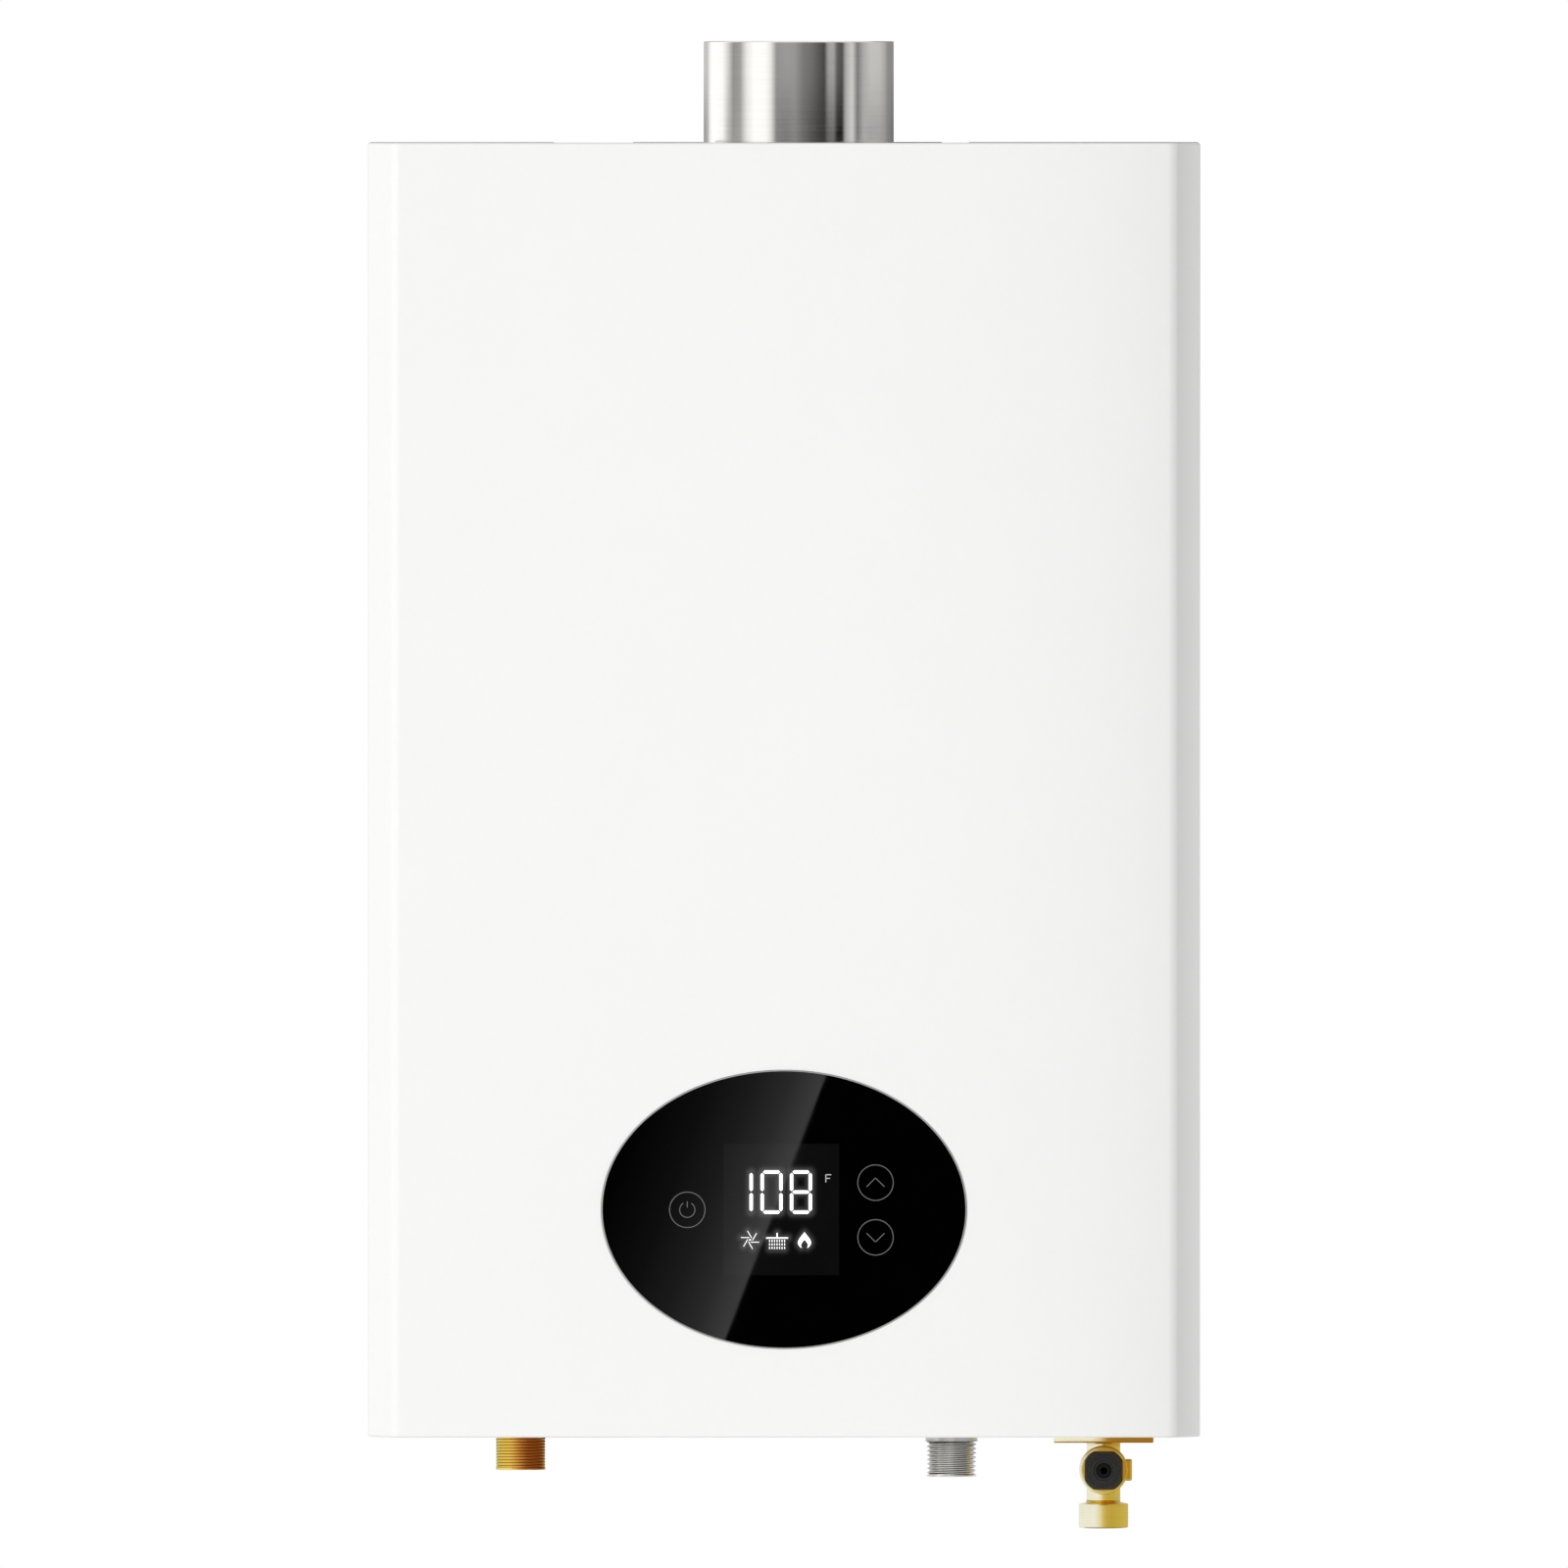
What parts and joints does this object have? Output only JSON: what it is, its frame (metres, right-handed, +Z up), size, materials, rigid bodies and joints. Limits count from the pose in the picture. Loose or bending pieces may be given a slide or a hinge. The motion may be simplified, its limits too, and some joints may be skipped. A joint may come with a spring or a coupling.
{
  "type": "tankless gas water heater",
  "caption": "Wall-hung tankless gas water heater: white sheet metal cabinet with a top flue collar, an oval black touch panel, and pipe connections and a drain valve below.",
  "frame": {"origin": "centre of the four wall screw holes, on the rear face against the wall", "axes": "+X to the right seen from the front, +Y towards the wall, +Z up"},
  "size_m": [0.35, 0.1358, 0.6263],
  "materials": {
    "cover_paint": "satin white enamel",
    "chassis_paint": "satin light enamel",
    "stainless": "polished",
    "gasket_fibre": "matte fibre",
    "galvanised": "galvanised",
    "bare_steel": "satin",
    "motor_black": "satin",
    "shaft_steel": "ground",
    "ivory_plastic": "matte",
    "silicone": "matte",
    "copper": "drawn copper",
    "die_cast": "as cast",
    "coil_wrap": "gloss",
    "small_brass": "machined",
    "white_ceramic": "glazed",
    "black_plastic": "fine grain",
    "nickel": "nickel plated",
    "inlet_brass": "machined",
    "outlet_brass": "machined",
    "black_rubber": "matte",
    "grey_plastic": "matte",
    "board_green": "solder mask",
    "core_steel": "varnished",
    "black_glass": "polished",
    "display_dark": "gloss",
    "screw_steel": "zinc plated"
  },
  "bodies": {
    "heater": {"front_cover": "cover_paint", "chassis": "chassis_paint", "flue_collar": "stainless", "flue_gasket": "gasket_fibre", "fan_scroll": "galvanised", "exhaust_hood": "galvanised", "switch_bracket": "galvanised", "exchanger_brackets": "galvanised", "burner_box": "galvanised", "burner_bars": "bare_steel", "gas_pipe": "bare_steel", "inlet_strainer": "bare_steel", "fan_motor": "motor_black", "flow_spindle": "shaft_steel", "pressure_switch": "ivory_plastic", "pressure_tube": "silicone", "exchanger_shell": "copper", "exchanger_fins": "copper", "exchanger_coil": "copper", "cold_pipe": "copper", "hot_pipe": "copper", "gas_valve_body": "die_cast", "gas_manifold": "die_cast", "shutoff_coil": "coil_wrap", "modulating_coil": "coil_wrap", "gas_nozzles": "small_brass", "temperature_probe": "small_brass", "touch_springs": "small_brass", "spark_electrode": "white_ceramic", "flame_probe": "white_ceramic", "overheat_thermostat": "white_ceramic", "igniter_module": "black_plastic", "flow_sensor_body": "black_plastic", "gas_inlet_fitting": "nickel", "cold_inlet_body": "inlet_brass", "hot_outlet_fitting": "outlet_brass", "cable_grommet": "black_rubber", "control_box": "grey_plastic", "control_lid": "grey_plastic", "panel_carrier": "grey_plastic", "control_board": "board_green", "display_board": "board_green", "transformer": "core_steel", "display_glass": "black_glass", "display_module": "display_dark", "cover_screws": "screw_steel", "collar_screws": "screw_steel", "fitting_screws": "screw_steel", "motor_screws": "screw_steel", "panel_screws": "screw_steel"},
    "fan_rotor": {"fan_wheel": "bare_steel", "fan_shaft": "shaft_steel"},
    "flow_rotor": {"flow_rotor": "ivory_plastic"},
    "gas_plunger": {"gas_plunger": "shaft_steel"},
    "drain_poppet": {"drain_poppet": "black_plastic", "drain_seal": "black_rubber"},
    "drain_knob": {"drain_knob": "black_plastic"}
  },
  "joints": [
    {"name": "fan_spin", "type": "hinge", "parent": "heater", "child": "fan_rotor", "pos_m": [-0.0358, -0.067, 0.1819], "axis": [0, -1, 0], "continuous": true},
    {"name": "flow_spin", "type": "hinge", "parent": "heater", "child": "flow_rotor", "pos_m": [0.1346, -0.067, -0.242], "axis": [0, 0, 1], "continuous": true},
    {"name": "plunger_lift", "type": "slide", "parent": "heater", "child": "gas_plunger", "axis": [0, 0, 1], "range_m": [0, 0.003], "stiffness_N_per_m": 300, "springref_m": -0.003},
    {"name": "drain_travel", "type": "slide", "parent": "heater", "child": "drain_poppet", "axis": [0, -1, 0], "range_m": [0, 0.00225]},
    {"name": "drain_turn", "type": "hinge", "parent": "drain_poppet", "child": "drain_knob", "pos_m": [0.1346, -0.088, -0.2871], "axis": [0, -1, 0], "range_deg": [0, 540]}
  ],
  "couplings": [
    {"joint": "drain_travel", "follows": "drain_turn", "m_per_rad": 0.0002387}
  ]
}
